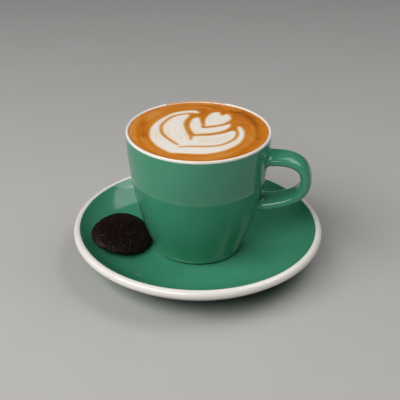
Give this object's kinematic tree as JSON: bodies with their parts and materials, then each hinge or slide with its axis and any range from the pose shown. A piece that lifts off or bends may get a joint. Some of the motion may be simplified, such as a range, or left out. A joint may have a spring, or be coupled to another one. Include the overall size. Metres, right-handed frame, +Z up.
{
  "type": "latte in a cup with saucer",
  "caption": "Milk coffee with poured tulip foam in a green glazed cup with a strap handle, on its saucer with a dark cocoa biscuit.",
  "frame": {"origin": "centre of the saucer's foot ring, on the surface it stands on", "axes": "+Z up along the axis of cup and saucer, +X towards the cup's handle"},
  "size_m": [0.1434, 0.1434, 0.0795],
  "materials": {
    "saucer_glaze": "gloss",
    "cup_glaze": "gloss",
    "crema": "satin",
    "milk_foam": "satin",
    "baked_cocoa": "matte"
  },
  "bodies": {
    "root": {"saucer": "saucer_glaze", "cup": "cup_glaze", "coffee": "crema", "foam_crescent": "milk_foam", "foam_wings": "milk_foam", "foam_leaves": "milk_foam", "foam_heart": "milk_foam", "biscuit": "baked_cocoa"}
  },
  "joints": []
}
